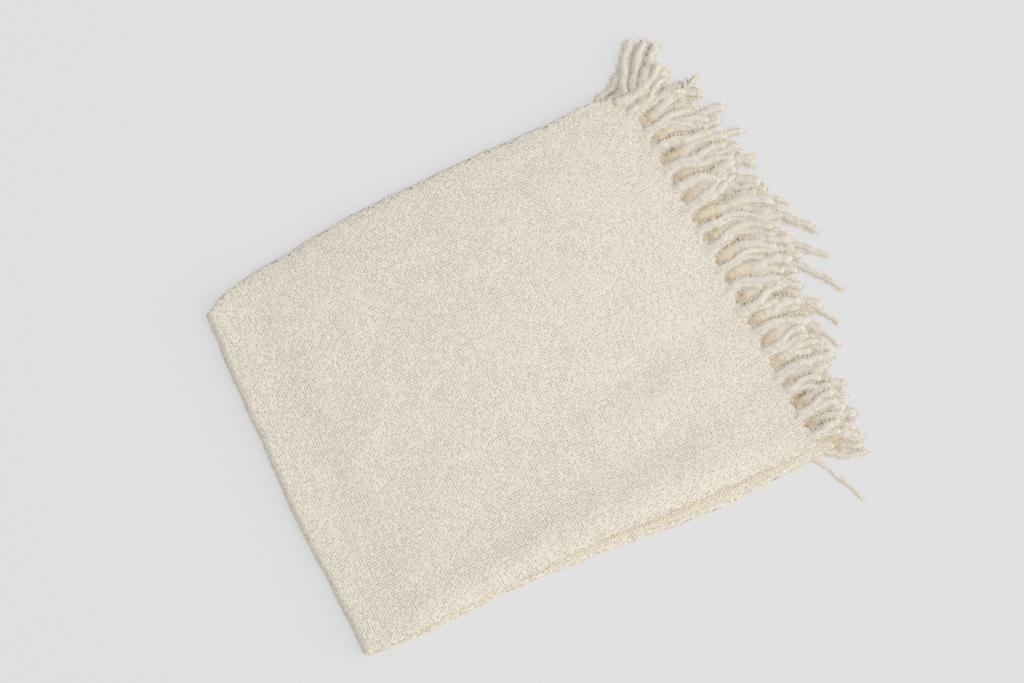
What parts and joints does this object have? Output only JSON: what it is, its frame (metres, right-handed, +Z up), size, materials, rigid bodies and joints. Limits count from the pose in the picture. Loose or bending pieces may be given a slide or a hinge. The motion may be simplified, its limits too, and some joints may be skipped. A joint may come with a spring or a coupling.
{
  "type": "boucle throw",
  "caption": "Cream boucle throw blanket folded into a soft flat rectangle of layers, with thick fringe locks along its open end, lying flat.",
  "frame": {"origin": "on the flat underside, near its middle, so the throw lies on the plane z = 0", "axes": "+X along the throw to its fringed ends, which lie together; +Y across it to the selvedges, away from the side fold; +Z up"},
  "size_m": [0.9088, 0.7848, 0.0266],
  "materials": {
    "boucle_cloth": "cream boucle weave, nubbly and matt",
    "fringe_yarn": "cream boucle yarn in thick fuzzy locks, matt"
  },
  "bodies": {
    "root": {"folded_cloth": "boucle_cloth", "fringe_upper": "fringe_yarn", "fringe_lower": "fringe_yarn"}
  },
  "joints": []
}
